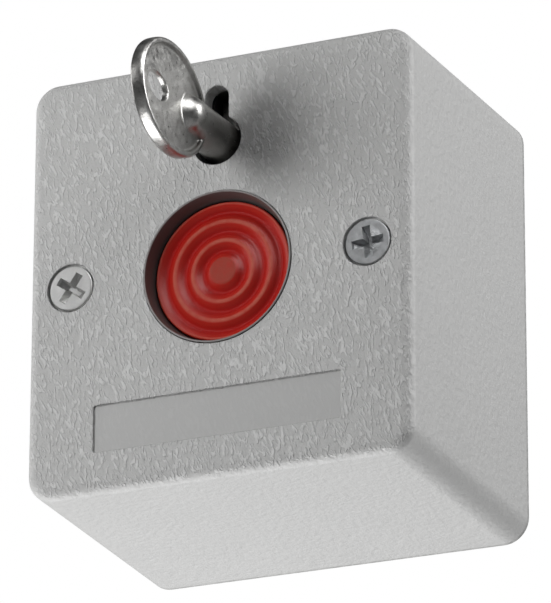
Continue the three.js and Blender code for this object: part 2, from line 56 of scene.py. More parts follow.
scene = bpy.context.scene
scene.view_settings.view_transform = "Standard"

lens = bpy.data.cameras.new("studio_lens")
lens.lens = 320.4
lens.sensor_width = 36
lens.clip_start = 0.05
lens.clip_end = 40
camera = bpy.data.objects.new("studio_camera", lens)
scene.collection.objects.link(camera)
camera.matrix_world = (
    Matrix.Rotation(radians(24.01), 4, "Z")
    @ Matrix.Rotation(radians(90 + 20.78), 4, "X")
    @ Matrix.Rotation(radians(0.2), 4, "Z")
    @ Matrix.Translation((-8.03 * mm, 7.365 * mm, 710 * mm))
)
scene.camera = camera

world = bpy.data.worlds.new("studio_white")
world.use_nodes = True
scene.world = world
sky = world.node_tree
backdrop = sky.nodes["Background"]
backdrop.inputs["Color"].default_value = (1, 1, 1, 1)
fill_light = sky.nodes.new("ShaderNodeBackground")
fill_light.inputs["Color"].default_value = (0.97, 0.98, 1, 1)
fill_light.inputs["Strength"].default_value = 0.05
seen = sky.nodes.new("ShaderNodeLightPath")
either = sky.nodes.new("ShaderNodeMixShader")
sky.links.new(seen.outputs["Is Camera Ray"], either.inputs["Fac"])
sky.links.new(fill_light.outputs[0], either.inputs[1])
sky.links.new(backdrop.outputs[0], either.inputs[2])
sky.links.new(either.outputs[0], sky.nodes["World Output"].inputs["Surface"])


def softbox(name, direction, distance, size, brightness, lights="everything"):
    """A soft square light that faces the box; brightness is how bright its cloth looks, where 1 is white. It may
    light only the colour of things, or show only in what is glossy, as a white card does."""
    light = bpy.data.lights.new(name, "AREA")
    light.shape = "SQUARE"
    light.size = size
    light.energy = brightness * pi * size * size
    lamp = bpy.data.objects.new(name, light)
    scene.collection.objects.link(lamp)
    away = Vector(direction).normalized()
    aim = Vector((0, -0.03, 0))
    lamp.matrix_world = Matrix.Translation(aim + away * distance) @ away.to_track_quat("Z", "Y").to_matrix().to_4x4()
    lamp.visible_glossy = lights != "colour"
    lamp.visible_diffuse = lights != "gloss"


softbox("light_left", (-0.50, -0.85, 0.08), 0.29, 0.14, 8.9, lights="colour")
softbox("light_far_left", (-0.96, -0.10, 0.20), 0.50, 0.30, 2.3)
softbox("light_right", (0.86, 0.30, 0.40), 0.60, 0.40, 6.0)
softbox("light_below", (-0.42, 0.30, -0.90), 0.45, 0.42, 4.5)
softbox("light_above", (0.20, -0.27, 0.94), 0.50, 0.32, 0.5)
softbox("light_high_right", (0.66, -0.36, 0.66), 0.50, 0.26, 1.8)
softbox("card_upper_left", (-0.57, -0.74, 0.34), 0.50, 0.24, 1.0, lights="gloss")
softbox("card_upper_right", (0.35, -0.62, 0.70), 0.50, 0.40, 3.2, lights="gloss")


def add_node(tree, kind, inputs=None, **settings):
    """A shader node whose inputs are given as values or as sockets to link from."""
    made = tree.nodes.new(kind)
    for key, value in settings.items():
        setattr(made, key, value)
    for key, value in (inputs or {}).items():
        if isinstance(value, bpy.types.NodeSocket):
            tree.links.new(value, made.inputs[key])
        else:
            made.inputs[key].default_value = value
    return made


def math_node(tree, operation, *values):
    return add_node(tree, "ShaderNodeMath", dict(enumerate(values)), operation=operation).outputs[0]


def ramp(tree, value, low, high, to_low=0.0, to_high=1.0):
    """Turns a value into a smooth step from to_low, at low, to to_high, at high."""
    inputs = {"Value": value, "From Min": low, "From Max": high, "To Min": to_low, "To Max": to_high}
    return add_node(tree, "ShaderNodeMapRange", inputs, interpolation_type="SMOOTHSTEP").outputs["Result"]


def mix_color(tree, share, first, second, blend="MIX"):
    mixer = tree.nodes.new("ShaderNodeMix")
    mixer.data_type = "RGBA"
    mixer.blend_type = blend
    for index, value in ((0, share), (6, first), (7, second)):
        if isinstance(value, bpy.types.NodeSocket):
            tree.links.new(value, mixer.inputs[index])
        else:
            mixer.inputs[index].default_value = value
    return mixer.outputs[2]


def millimetres(tree, scale=(1, 1, 1), turn=(0, 0, 0), origin=(0, 0, 0)):
    """The place on the piece in millimetres, which may be moved, turned and stretched for a pattern."""
    place = add_node(tree, "ShaderNodeTexCoord").outputs["Object"]
    moved = add_node(
        tree, "ShaderNodeVectorMath", {0: place, 1: tuple(c * mm for c in origin)}, operation="SUBTRACT"
    ).outputs[0]
    size = tuple(c / mm for c in scale)
    return add_node(
        tree, "ShaderNodeMapping", {"Vector": moved, "Rotation": tuple(radians(c) for c in turn), "Scale": size}
    ).outputs[0]


def noise(tree, place, scale, detail=2.0, roughness=0.5, distortion=0.0):
    inputs = {"Vector": place, "Scale": scale, "Detail": detail, "Roughness": roughness, "Distortion": distortion}
    return add_node(tree, "ShaderNodeTexNoise", inputs).outputs[0]


def new_material(name, **constants):
    """A material with a Principled BSDF whose constant sockets are set by name."""
    material = bpy.data.materials.new(name)
    material.use_nodes = True
    tree = material.node_tree
    shader = tree.nodes["Principled BSDF"]
    for key, value in constants.items():
        shader.inputs[key.replace("_", " ")].default_value = value
    return material, tree, shader


def bump(tree, shader, height, strength=1.0):
    """Height is in millimetres."""
    bumped = add_node(tree, "ShaderNodeBump", {"Height": height, "Strength": strength, "Distance": mm})
    tree.links.new(bumped.outputs[0], shader.inputs["Normal"])


floor_mesh = bpy.data.meshes.new("studio_floor")
floor_mesh.from_pydata([(-3, -3, -0.6), (3, -3, -0.6), (3, 3, -0.6), (-3, 3, -0.6)], [], [(0, 1, 2, 3)])
floor = bpy.data.objects.new("studio_floor", floor_mesh)
scene.collection.objects.link(floor)
pale, pale_tree, pale_shader = new_material("pale_floor", Roughness=0.8)
drift = noise(pale_tree, millimetres(pale_tree), 0.004)
pale_tree.links.new(
    mix_color(pale_tree, drift, (0.74, 0.74, 0.75, 1), (0.78, 0.78, 0.78, 1)), pale_shader.inputs["Base Color"]
)
floor_mesh.materials.append(pale)

# ------------------------------------------------------------------ front cover
# The cover is a deep tray of light grey ABS, moulded with draft so that it leaves the tool, open at the back. Its
# face carries a leather grain, its sides a fine spark-eroded texture, and the label field is plain. Round bosses
# behind the face take the two countersunk screws that hold it on the back plate.

BOX_DEPTH = 38.0
BACK_SIZE = (54.0, 58.5)
FRONT_SIZE = (53.0, 56.9)
WALL = 2.2
BUTTON_Y = -0.55
LABEL_Y = -20.02
SCREW_PLACES = {"left": (-20.57, -0.4), "right": (20.57, -0.4)}
KEY_PLACE = (-0.2, 16.74)

# Pieces are made lying on their backs, with x to the right, y up the face and z out of the wall, and then stood
# up against the wall.
STAND_UP = Matrix.Rotation(pi / 2, 4, "X")


def new_piece(name, points, edges=(), faces=()):
    mesh = bpy.data.meshes.new(name)
    mesh.from_pydata([tuple(c * mm for c in p) for p in points], list(edges), list(faces))
    piece = bpy.data.objects.new(name, mesh)
    scene.collection.objects.link(piece)
    return piece


def apply_stack(piece, place=Matrix.Identity(4)):
    """Applies a piece's modifiers and then its place, so that its object sits at the origin."""
    bpy.context.view_layer.update()
    graph = bpy.context.evaluated_depsgraph_get()
    finished = bpy.data.meshes.new_from_object(piece.evaluated_get(graph))
    finished.name = piece.name
    finished.transform(place @ piece.matrix_world)
    old = piece.data
    piece.modifiers.clear()
    if piece.type == "MESH":
        piece.data = finished
        bpy.data.meshes.remove(old)
        piece.matrix_world = Matrix.Identity(4)
        return piece
    swept = bpy.data.objects.new(piece.name + "_mesh", finished)
    scene.collection.objects.link(swept)
    name = piece.name
    bpy.data.objects.remove(piece)
    swept.name = name
    return swept


def bool_with(piece, tool, operation="DIFFERENCE"):
    cut = piece.modifiers.new(operation.lower(), "BOOLEAN")
    cut.operation = operation
    cut.object = tool
    cut.solver = "EXACT"
    apply_stack(piece)
    bpy.data.objects.remove(tool)


def smooth_by_angle(piece, degrees_sharp=32):
    piece.data.shade_smooth()
    piece.data.set_sharp_from_angle(angle=radians(degrees_sharp))
    weigh = piece.modifiers.new("flat_faces", "WEIGHTED_NORMAL")
    weigh.keep_sharp = True


def drafted_block(name, inset, z_back, z_front, corner, edge, corner_steps=10, edge_steps=6):
    """A block whose sides lean in towards the front, with rounded corners along its depth and round its front."""
    points = []
    for z in (z_back, z_front):
        share = z / BOX_DEPTH
        half_x = (BACK_SIZE[0] + (FRONT_SIZE[0] - BACK_SIZE[0]) * share) / 2 - inset
        half_y = (BACK_SIZE[1] + (FRONT_SIZE[1] - BACK_SIZE[1]) * share) / 2 - inset
        points += [(-half_x, -half_y, z), (half_x, -half_y, z), (half_x, half_y, z), (-half_x, half_y, z)]
    faces = [(3, 2, 1, 0), (4, 5, 6, 7), (0, 1, 5, 4), (1, 2, 6, 5), (2, 3, 7, 6), (3, 0, 4, 7)]
    piece = new_piece(name, points, (), faces)
    cage = bmesh.new()
    cage.from_mesh(piece.data)
    weight = cage.edges.layers.float.new("bevel_weight_edge")
    for side in cage.edges:
        along = side.verts[0].co - side.verts[1].co
        side[weight] = 1.0 if abs(along.z) > 5 * mm else 0.0
    cage.to_mesh(piece.data)
    cage.free()
    for width, steps, method in ((corner, corner_steps, "WEIGHT"), (edge, edge_steps, "ANGLE")):
        rounding = piece.modifiers.new("rounding", "BEVEL")
        rounding.width = width * mm
        rounding.segments = steps
        rounding.limit_method = method
        rounding.angle_limit = radians(60)
        rounding.use_clamp_overlap = False
    return apply_stack(piece)


def circle(x, y, radius, sides):
    return lambda grow: [
        (x + (radius + grow) * cos(2 * pi * i / sides), y + (radius + grow) * sin(2 * pi * i / sides))
        for i in range(sides)
    ]


def arc(x, y, radius, start, end, steps):
    return [
        (x + radius * cos(radians(start + (end - start) * i / steps)),
         y + radius * sin(radians(start + (end - start) * i / steps)))
        for i in range(steps + 1)
    ]


def rounded_field(x, y, width, height, radius, steps=5):
    def outline(grow):
        a, b, r = width / 2 - radius, height / 2 - radius, radius + grow
        corners = ((a, b, 0), (-a, b, 90), (-a, -b, 180), (a, -b, 270))
        return [p for dx, dy, start in corners for p in arc(x + dx, y + dy, r, start, start + 90, steps)]

    return outline


def keyhole(grow, hole=3.37, slot=1.65, slot_top=24.25):
    """A round hole with a slot above it for the key's bit."""
    x, y = KEY_PLACE
    meet = degrees(asin((slot + grow) / (hole + grow)))
    return arc(x, y, hole + grow, 90 + meet, 450 - meet, 56) + arc(x, slot_top - slot, slot + grow, 0, 180, 20)


def well(name, outline, levels):
    """A tool whose outline grows by a given amount at each level, from the top down."""
    rings = [[(x, y, z) for x, y in outline(grow)] for z, grow in levels]
    count = len(rings[0])
    points = [p for ring in rings for p in ring]
    faces = [tuple(range(count)), tuple(reversed(range(len(points) - count, len(points))))]
    for level in range(len(rings) - 1):
        a, b = level * count, (level + 1) * count
        faces += [(a + i, b + i, b + (i + 1) % count, a + (i + 1) % count) for i in range(count)]
    return new_piece(name, points, (), faces)


def lipped(top, radius, steps=4):
    """Levels that leave a small round lip on the edge of a hole in a face at height top."""
    levels = [(top + 1, radius)]
    for i in range(steps + 1):
        turn = (pi / 2) * i / steps
        levels.append((top - radius * (1 - cos(turn)), radius * (1 - sin(turn))))
    return levels


cover = drafted_block("front_cover_moulding", 0, -3, BOX_DEPTH, 3.4, 1.5)
bool_with(cover, well("behind", rounded_field(0, 0, 80, 80, 1), [(0, 0), (-9, 0)]))
bool_with(cover, drafted_block("cavity", WALL, -4, BOX_DEPTH - WALL, 1.2, 0.4, 5, 3))
for x, y in SCREW_PLACES.values():
    bool_with(cover, well("boss", circle(x, y, 3.4, 48), [(36.6, 0), (34.4, 0)]), "UNION")
    seat = [(z, grow + 1.53) for z, grow in lipped(BOX_DEPTH, 0.10)] + [(37.55, 1.53), (36.02, 0), (33, 0)]
    bool_with(cover, well("screw_seat", circle(x, y, 1.75, 64), seat))
bool_with(cover, well("button_hole", circle(0, BUTTON_Y, 10.29, 128), lipped(BOX_DEPTH, 0.06) + [(34, 0)]))
bool_with(cover, well("key_hole", keyhole, lipped(BOX_DEPTH, 0.16) + [(34, 0)]))
label = rounded_field(0, LABEL_Y, 34.1, 6.35, 0.4)
bool_with(cover, well("label_field", label, lipped(BOX_DEPTH, 0.1, 3) + [(BOX_DEPTH - 0.3, 0)]))
cover.data.transform(STAND_UP)
smooth_by_angle(cover)

# Leather grain, as a group: short raised strokes in two slanting layers, over a slight unevenness of the whole
# surface.
grain = bpy.data.node_groups.new("leather_grain", "ShaderNodeTree")
for socket, kind, direction in (
    ("Place", "NodeSocketVector", "INPUT"),
    ("Strokes per mm", "NodeSocketFloat", "INPUT"),
    ("Coverage", "NodeSocketFloat", "INPUT"),
    ("Height", "NodeSocketFloat", "OUTPUT"),
    ("Stroke", "NodeSocketFloat", "OUTPUT"),
):
    grain.interface.new_socket(name=socket, in_out=direction, socket_type=kind)
given = grain.nodes.new("NodeGroupInput")
result = grain.nodes.new("NodeGroupOutput")
threshold = math_node(grain, "SUBTRACT", 0.66, math_node(grain, "MULTIPLY", given.outputs["Coverage"], 0.2))
layers = []
for slant, length, shift in ((-26, 3.4, 0), (-4, 2.6, 0.05)):
    turned_place = add_node(
        grain,
        "ShaderNodeMapping",
        {"Vector": given.outputs["Place"], "Location": (shift, shift, 0), "Rotation": (0, radians(slant), 0),
         "Scale": (1, 1, length)},
        vector_type="TEXTURE",
    ).outputs[0]
    field = noise(grain, turned_place, given.outputs["Strokes per mm"], 1.5, 0.5)
    layers.append(ramp(grain, field, threshold, math_node(grain, "ADD", threshold, 0.13)))
stroke = math_node(grain, "MAXIMUM", *layers)
swell = noise(grain, given.outputs["Place"], given.outputs["Strokes per mm"], 3.0, 0.6)
height = math_node(grain, "MULTIPLY_ADD", swell, 0.3, stroke)
grain.links.new(height, result.inputs["Height"])
grain.links.new(stroke, result.inputs["Stroke"])

grey, tree, shader = new_material("grained_grey_abs", Specular_IOR_Level=0.42)
place = millimetres(tree)
axes = add_node(tree, "ShaderNodeSeparateXYZ", {"Vector": place})
on_face = ramp(tree, axes.outputs["Y"], -37.85, -37.2, 1.0, 0.0)
leather = add_node(tree, "ShaderNodeGroup", {}, node_tree=grain)
tree.links.new(place, leather.inputs["Place"])
leather.inputs["Strokes per mm"].default_value = 2.8
leather.inputs["Coverage"].default_value = 0.64
fine = noise(tree, place, 1.15, 3.0, 0.6)
tiny = noise(tree, place, 5.0, 2.0, 0.5)
from_middle = math_node(tree, "ABSOLUTE", axes.outputs["X"])
from_label = math_node(tree, "ABSOLUTE", math_node(tree, "SUBTRACT", axes.outputs["Z"], LABEL_Y))
in_width = ramp(tree, from_middle, 16.85, 17.0, 1.0, 0.0)
in_height = ramp(tree, from_label, 3.0, 3.12, 1.0, 0.0)
in_label = math_node(tree, "MULTIPLY", math_node(tree, "MULTIPLY", in_width, in_height), on_face)
off_label = math_node(tree, "SUBTRACT", 1.0, in_label)
grained = math_node(tree, "MULTIPLY", on_face, off_label)
side_height = math_node(tree, "MULTIPLY", math_node(tree, "MULTIPLY", fine, 0.18), off_label)
face_height = math_node(tree, "MULTIPLY", leather.outputs["Height"], 0.10)
total = math_node(tree, "MULTIPLY_ADD", face_height, grained, side_height)
bump(tree, shader, math_node(tree, "MULTIPLY_ADD", tiny, 0.003, total))
cloud = noise(tree, place, 0.09, 3.0, 0.6)
plain = mix_color(tree, cloud, (0.50, 0.50, 0.495, 1), (0.54, 0.54, 0.535, 1))
# Painted highlight: the crests of the grain strokes are painted lighter, standing in for the glints their slopes catch.
raised = math_node(tree, "MULTIPLY", math_node(tree, "MULTIPLY", leather.outputs["Stroke"], grained), 0.7)
smooth_label = mix_color(tree, in_label, plain, (0.475, 0.475, 0.47, 1))
stroke_glints = mix_color(tree, raised, smooth_label, (0.68, 0.68, 0.675, 1))
# Painted shade: the last half millimetre of the sides, where they meet the back plate, is painted darker in mottled
# patches.
back_edge_shade = math_node(tree, "MULTIPLY", ramp(tree, axes.outputs["Y"], -0.75, -0.2), ramp(tree, fine, 0.35, 0.6, 0.3, 0.9))
tree.links.new(mix_color(tree, back_edge_shade, stroke_glints, (0.30, 0.30, 0.295, 1)), shader.inputs["Base Color"])
tree.links.new(ramp(tree, fine, 0.2, 0.8, 0.40, 0.55), shader.inputs["Roughness"])
cover.data.materials.clear()
cover.data.materials.append(grey)
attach(cover, "housing")
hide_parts("front_cover")

# ------------------------------------------------------------------ collar
# A short moulded bushing of brown-black plastic that the button slides in. Its mouth widens to a thin crown, painted
# grey as a painted highlight, that stands a little out of the cover's hole. Its flange is caught between the cover and
# the frame.


def turned(name, profile, sides, x=0.0, y=0.0, closed=False):
    """A piece turned about its own axis; the profile lists (radius, height) from the top down."""
    count = len(profile)
    edges = [(i, i + 1) for i in range(count - 1)] + ([(count - 1, 0)] if closed else [])
    piece = new_piece(name, [(radius, 0, height) for radius, height in profile], edges)
    lathe = piece.modifiers.new("lathe", "SCREW")
    lathe.steps = lathe.render_steps = sides
    lathe.use_merge_vertices = True
    lathe.merge_threshold = 0.002 * mm
    lathe.use_smooth_shade = True
    apply_stack(piece, STAND_UP @ Matrix.Translation((x * mm, y * mm, 0)))
    return piece


mouth = [(9.42, 35.9), (9.60, 36.2), (9.68, 36.8), (9.82, 37.5)]
crown = arc(10.07, 38.10, 0.10, 170, 90, 4) + arc(10.11, 38.10, 0.10, 90, 0, 4) + [(10.21, 37.3)]
below = [(10.05, 36.9), (10.05, 35.5), (11.9, 35.5), (11.9, 34.2), (10.05, 34.2), (10.05, 31.9), (9.42, 31.9)]
collar = turned("black_collar", mouth + crown + below, 144, 0, BUTTON_Y, closed=True)
smooth_by_angle(collar)

black, tree, shader = new_material("brown_black_plastic", Specular_IOR_Level=0.5)
place = millimetres(tree)
smear = noise(tree, place, 0.45, 3.0, 0.6)
axes = add_node(tree, "ShaderNodeSeparateXYZ", {"Vector": place})
# Painted highlight: the crown is painted a pale grey in place of the sheen it catches.
crown_sheen = ramp(tree, axes.outputs["Y"], -38.18, -38.02, 0.6, 0.0)
dark_brown = mix_color(tree, smear, (0.085, 0.074, 0.071, 1), (0.115, 0.100, 0.097, 1))
tree.links.new(mix_color(tree, crown_sheen, dark_brown, (0.36, 0.345, 0.34, 1)), shader.inputs["Base Color"])
tree.links.new(ramp(tree, smear, 0.3, 0.7, 0.36, 0.48), shader.inputs["Roughness"])
bump(tree, shader, math_node(tree, "MULTIPLY", noise(tree, place, 2.2), 0.006))
collar.data.materials.append(black)
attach(collar, "housing")
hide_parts("button_collar")

# ------------------------------------------------------------------ red button
# A hollow cap of moulded red plastic with a flat middle and rings round it that keep a finger from slipping.
# Fingers have worn the tops of the rings duller and paler; the pale tops are also a painted highlight, and the
# groove bottoms are painted darker as painted shade. A socket in its underside sits on the plunger.

RIDGE_TOP = BOX_DEPTH - 1.7
RIDGES = [(0, 1.95), (3.75, 4.5), (6.3, 7.05), (8.85, 9.3)]
GROOVE = 0.7


def ridge_height(radius):
    """Height of the button's face: round-bottomed grooves between ridges with softened shoulders."""
    for (_, start), (end, _) in zip(RIDGES, RIDGES[1:]):
        if start < radius < end:
            share = (radius - start) / (end - start)
            return RIDGE_TOP - GROOVE * sin(pi * share) ** 1.25
    return RIDGE_TOP


face = [(0.0, RIDGE_TOP)]
for step in range(1, 111):
    radius = 9.05 * step / 110
    near = [ridge_height(max(0.0, radius + d)) for d in (-0.34, -0.17, 0, 0.17, 0.34)]
    face.append((radius, sum(near) / 5))
face += arc(9.08, face[-1][1] - 0.22, 0.22, 90, 0, 6)
underside = [(9.3, 30.7), (7.6, 30.7), (7.6, 34.2), (2.9, 34.2), (2.9, 31), (2.2, 31), (2.2, 33.9), (0, 33.9)]
button = turned("red_button_cap", face + underside, 144, 0, BUTTON_Y)
smooth_by_angle(button, 40)

red, tree, shader = new_material("red_plastic_wear_and_sheen", Specular_IOR_Level=0.33)
place = millimetres(tree)
axes = add_node(tree, "ShaderNodeSeparateXYZ", {"Vector": place})
rub = noise(tree, place, 0.9, 4.0, 0.65)
on_tops = ramp(tree, axes.outputs["Y"], -RIDGE_TOP, 0.095 - RIDGE_TOP, 1.0, 0.0)
# Wear and painted highlight: the ring tops are painted paler in rubbed patches, both for wear and in place of the
# highlights along their shoulders.
wear_and_sheen = math_node(tree, "MULTIPLY", on_tops, ramp(tree, rub, 0.25, 0.7, 0.35, 0.8))
off_middle = add_node(
    tree, "ShaderNodeVectorMath", {0: place, 1: (0, -36, BUTTON_Y)}, operation="DISTANCE"
).outputs["Value"]
worn_and_sheen_red = mix_color(tree, ramp(tree, off_middle, 1.7, 2.6), (0.31, 0.060, 0.039, 1), (0.51, 0.125, 0.085, 1))
# Painted shade: the red is painted darker towards the bottoms of the grooves.
depth = ramp(tree, axes.outputs["Y"], 0.2 - RIDGE_TOP, 0.65 - RIDGE_TOP)
red_with_groove_shade = mix_color(tree, depth, (0.43, 0.019, 0.012, 1), (0.37, 0.008, 0.006, 1))
tree.links.new(mix_color(tree, wear_and_sheen, red_with_groove_shade, worn_and_sheen_red), shader.inputs["Base Color"])
tree.links.new(ramp(tree, wear_and_sheen, 0.0, 0.8, 0.33, 0.48), shader.inputs["Roughness"])
marks = noise(tree, place, 4.5, 3.0, 0.6)
bump(tree, shader, math_node(tree, "MULTIPLY", marks, 0.022))
button.data.materials.append(red)
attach(button, "button")
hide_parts("red_button")

# ------------------------------------------------------------------ cover screws
# Two M3 countersunk steel screws, zinc plated, with cross recesses. The right one has been driven with a driver
# that slipped, which raised burrs round its recess.


def cross_wing(name, x, y, turn):
    """A tapered bar: one of the two wings of a cross recess."""
    points = []
    for z, half_long, half_wide in ((38.3, 2.30, 0.62), (37.4, 2.00, 0.48), (36.6, 0.95, 0.24)):
        points += [(-half_long, -half_wide, z), (half_long, -half_wide, z), (half_long, half_wide, z),
                   (-half_long, half_wide, z)]
    faces = [(0, 1, 2, 3), (11, 10, 9, 8)]
    for low in (0, 4):
        faces += [(low + i, low + 4 + i, low + 4 + (i + 1) % 4, low + (i + 1) % 4) for i in range(4)]
    wing = new_piece(name, points, (), faces)
    wing.data.transform(Matrix.Translation((x * mm, y * mm, 0)) @ Matrix.Rotation(radians(turn), 4, "Z"))
    return wing


for side, turn, dull in (("left", -34, 0.0), ("right", 6, 1.0)):
    x, y = SCREW_PLACES[side]
    head = [(0, 37.85), (1.2, 37.85), (2.6, 37.85)] + arc(2.88, 37.73, 0.12, 90, 0, 4)
    thread = [(1.45 if step % 2 else 1.22, 35.2 - 0.25 * step) for step in range(40)]
    shank = [(3.0, 37.57), (1.48, 36.05), (1.45, 35.5)] + thread + [(1.0, 24.9), (0, 24.05)]
    screw = turned(f"cover_screw_{side}_m3", head + shank, 64, x, y)
    screw.data.transform(STAND_UP.inverted())
    for wing_turn in (turn, turn + 90):
        bool_with(screw, cross_wing("wing", x, y, wing_turn))
    screw.data.transform(STAND_UP)
    smooth_by_angle(screw, 30)

    metal, tree, shader = new_material(f"zinc_plate_{side}", Metallic=1.0)
    place = millimetres(tree, origin=(x, 0, y))
    patches = noise(tree, place, 1.3, 4.0, 0.6)
    bright = (0.92, 0.92, 0.91, 1) if side == "left" else (0.74, 0.75, 0.76, 1)
    shade = (0.66, 0.66, 0.65, 1) if side == "left" else (0.30, 0.31, 0.32, 1)
    tree.links.new(mix_color(tree, patches, shade, bright), shader.inputs["Base Color"])
    low, high = (0.30, 0.44) if side == "left" else (0.46, 0.62)
    tree.links.new(ramp(tree, patches, 0.3, 0.7, low, high), shader.inputs["Roughness"])
    axes = add_node(tree, "ShaderNodeSeparateXYZ", {"Vector": place})
    flat = add_node(tree, "ShaderNodeCombineXYZ", {"X": axes.outputs["X"], "Z": axes.outputs["Z"]}).outputs[0]
    out = add_node(tree, "ShaderNodeVectorMath", {0: flat}, operation="LENGTH").outputs["Value"]
    near_cross = ramp(tree, out, 0.8, 2.2, 1.0, 0.0)
    raised = math_node(tree, "MULTIPLY", near_cross, 0.05 + 0.33 * dull)
    burr = math_node(tree, "MULTIPLY", noise(tree, place, 2.6, 3.0, 0.6), raised)
    bump(tree, shader, math_node(tree, "MULTIPLY_ADD", noise(tree, place, 7.0, 2.0), 0.012, burr))
    screw.data.materials.append(metal)
    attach(screw, "housing")
    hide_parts(f"cover_screw_{side}")

# ------------------------------------------------------------------ key
# The reset key is die cast zinc, nickel plated and worn to a satin: an oval bow with a raised rim and a hole for a
# ring, a round shank that ends in a dome on the bow, and a square bit at its tip.


def loft(rings, closed=False):
    """Points and faces of a skin over rings of equally many points; closed joins the last ring to the first."""
    count = len(rings[0])
    points = [p for ring in rings for p in ring]
    faces = []
    for level in range(len(rings) if closed else len(rings) - 1):
        a, b = level * count, ((level + 1) % len(rings)) * count
        faces += [(a + i, b + i, b + (i + 1) % count, a + (i + 1) % count) for i in range(count)]
    return points, faces


def squared(value):
    """Rounds a round section towards a square one."""
    return copysign(abs(value) ** 0.62, value)


def oval_ring(long_half, short_half, up, out, radial, thick, around=96, section=14):
    """A rounded oval hoop that stands in the plane x = 0."""
    rings = []
    for i in range(around):
        t = 2 * pi * i / around
        normal = Vector((0, cos(t) / short_half, sin(t) / long_half)).normalized()
        centre = Vector((0, up + short_half * cos(t), out + long_half * sin(t)))
        ring = []
        for k in range(section):
            s = 2 * pi * k / section
            across, along = squared(cos(s)), squared(sin(s))
            ring.append(tuple(centre + normal * radial * across + Vector((thick * along, 0, 0))))
        rings.append(ring)
    return loft(rings, closed=True)


def oval_points(x, long_half, short_half, up, out, around=96):
    return [
        (x, up + short_half * cos(2 * pi * i / around), out + long_half * sin(2 * pi * i / around))
        for i in range(around)
    ]


BOW_OUT = BOX_DEPTH + 14.3
BOW_RISE = 0.2
parts = [
    oval_ring(9.17, 6.92, BOW_RISE, BOW_OUT, 0.44, 0.93),
    oval_ring(3.02, 1.87, BOW_RISE + 0.05, BOW_OUT + 4.1, 0.14, 0.46),
]
web = [
    oval_points(0.42, 9.1, 6.85, BOW_RISE, BOW_OUT),
    oval_points(-0.42, 9.1, 6.85, BOW_RISE, BOW_OUT),
    oval_points(-0.42, 3.0, 1.85, BOW_RISE + 0.05, BOW_OUT + 4.1),
    oval_points(0.42, 3.0, 1.85, BOW_RISE + 0.05, BOW_OUT + 4.1),
]
parts.append(loft(web, closed=True))
points, faces = [], []
for part_points, part_faces in parts:
    faces += [tuple(i + len(points) for i in f) for f in part_faces]
    points += part_points
bow = new_piece("key_bow", points, (), faces)
dome = [(2.5 * sin(radians(a)), 47.0 + 2.5 * cos(radians(a))) for a in range(0, 91, 9)]
stem = turned("key_stem", [(0, 49.5)] + dome[1:] + [(2.75, 38), (2.75, 24.5), (2.25, 24), (0, 24)], 64)
stem.data.transform(STAND_UP.inverted())
bit_faces = [(0, 1, 2, 3), (7, 6, 5, 4), (0, 4, 5, 1), (1, 5, 6, 2), (2, 6, 7, 3), (3, 7, 4, 0)]
bit = new_piece("key_bit", [(x, y, z) for z in (33.6, 26) for x, y in ((-1.2, 0), (1.2, 0), (1.2, 6.9), (-1.2, 6.9))],
                (), bit_faces)
joined = bmesh.new()
for member in (bow, stem, bit):
    joined.from_mesh(member.data)
bmesh.ops.recalc_face_normals(joined, faces=joined.faces)
joined.to_mesh(bow.data)
joined.free()
for member in (stem, bit):
    bpy.data.objects.remove(member)
bow.name = "nickel_key"
cast = bow.modifiers.new("cast", "REMESH")
cast.mode = "VOXEL"
cast.voxel_size = 0.14 * mm
tumbled = bow.modifiers.new("tumbled", "SMOOTH")
tumbled.factor = 0.5
tumbled.iterations = 4
apply_stack(bow, STAND_UP @ Matrix.Translation((KEY_PLACE[0] * mm, KEY_PLACE[1] * mm, 0)))
bow.data.shade_smooth()

nickel, tree, shader = new_material("satin_nickel", Metallic=1.0)
place = millimetres(tree)
pits = noise(tree, place, 1.1, 4.0, 0.6)
axes = add_node(tree, "ShaderNodeSeparateXYZ", {"Vector": place})
speckle = noise(tree, place, 6.0, 2.0, 0.5)
handled = mix_color(tree, pits, (0.46, 0.455, 0.44, 1), (0.62, 0.615, 0.60, 1))
speckled = mix_color(tree, ramp(tree, speckle, 0.45, 0.7, 0.0, 0.5), handled, (0.30, 0.295, 0.285, 1))
# Painted shade and reflection: the shank is painted darker towards the cover, standing in for the shaded face and
# keyhole it reflects.
shank_shade = ramp(tree, axes.outputs["Y"], -50.0, -42.5, 0.0, 0.92)
tree.links.new(mix_color(tree, shank_shade, speckled, (0.18, 0.175, 0.165, 1)), shader.inputs["Base Color"])
tree.links.new(ramp(tree, pits, 0.3, 0.75, 0.27, 0.40), shader.inputs["Roughness"])
peel = math_node(tree, "MULTIPLY", noise(tree, place, 0.8, 3.0, 0.55), 0.06)
bump(tree, shader, math_node(tree, "MULTIPLY_ADD", speckle, 0.006, peel))
bow.data.materials.append(nickel)
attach(bow, "key")
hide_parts("key")

# ------------------------------------------------------------------ springs
# Three coil springs of drawn steel wire: one pushes the button out, one lifts the latch plate and one presses the
# contact arm against its strip.

steel_wire, tree, shader = new_material("drawn_steel_wire", Metallic=1.0)
place = millimetres(tree)
drawn = noise(tree, place, 3.0, 3.0, 0.6)
tree.links.new(mix_color(tree, drawn, (0.36, 0.36, 0.37, 1), (0.56, 0.56, 0.56, 1)), shader.inputs["Base Color"])
tree.links.new(ramp(tree, drawn, 0.3, 0.7, 0.26, 0.42), shader.inputs["Roughness"])
bump(tree, shader, math_node(tree, "MULTIPLY", drawn, 0.004))


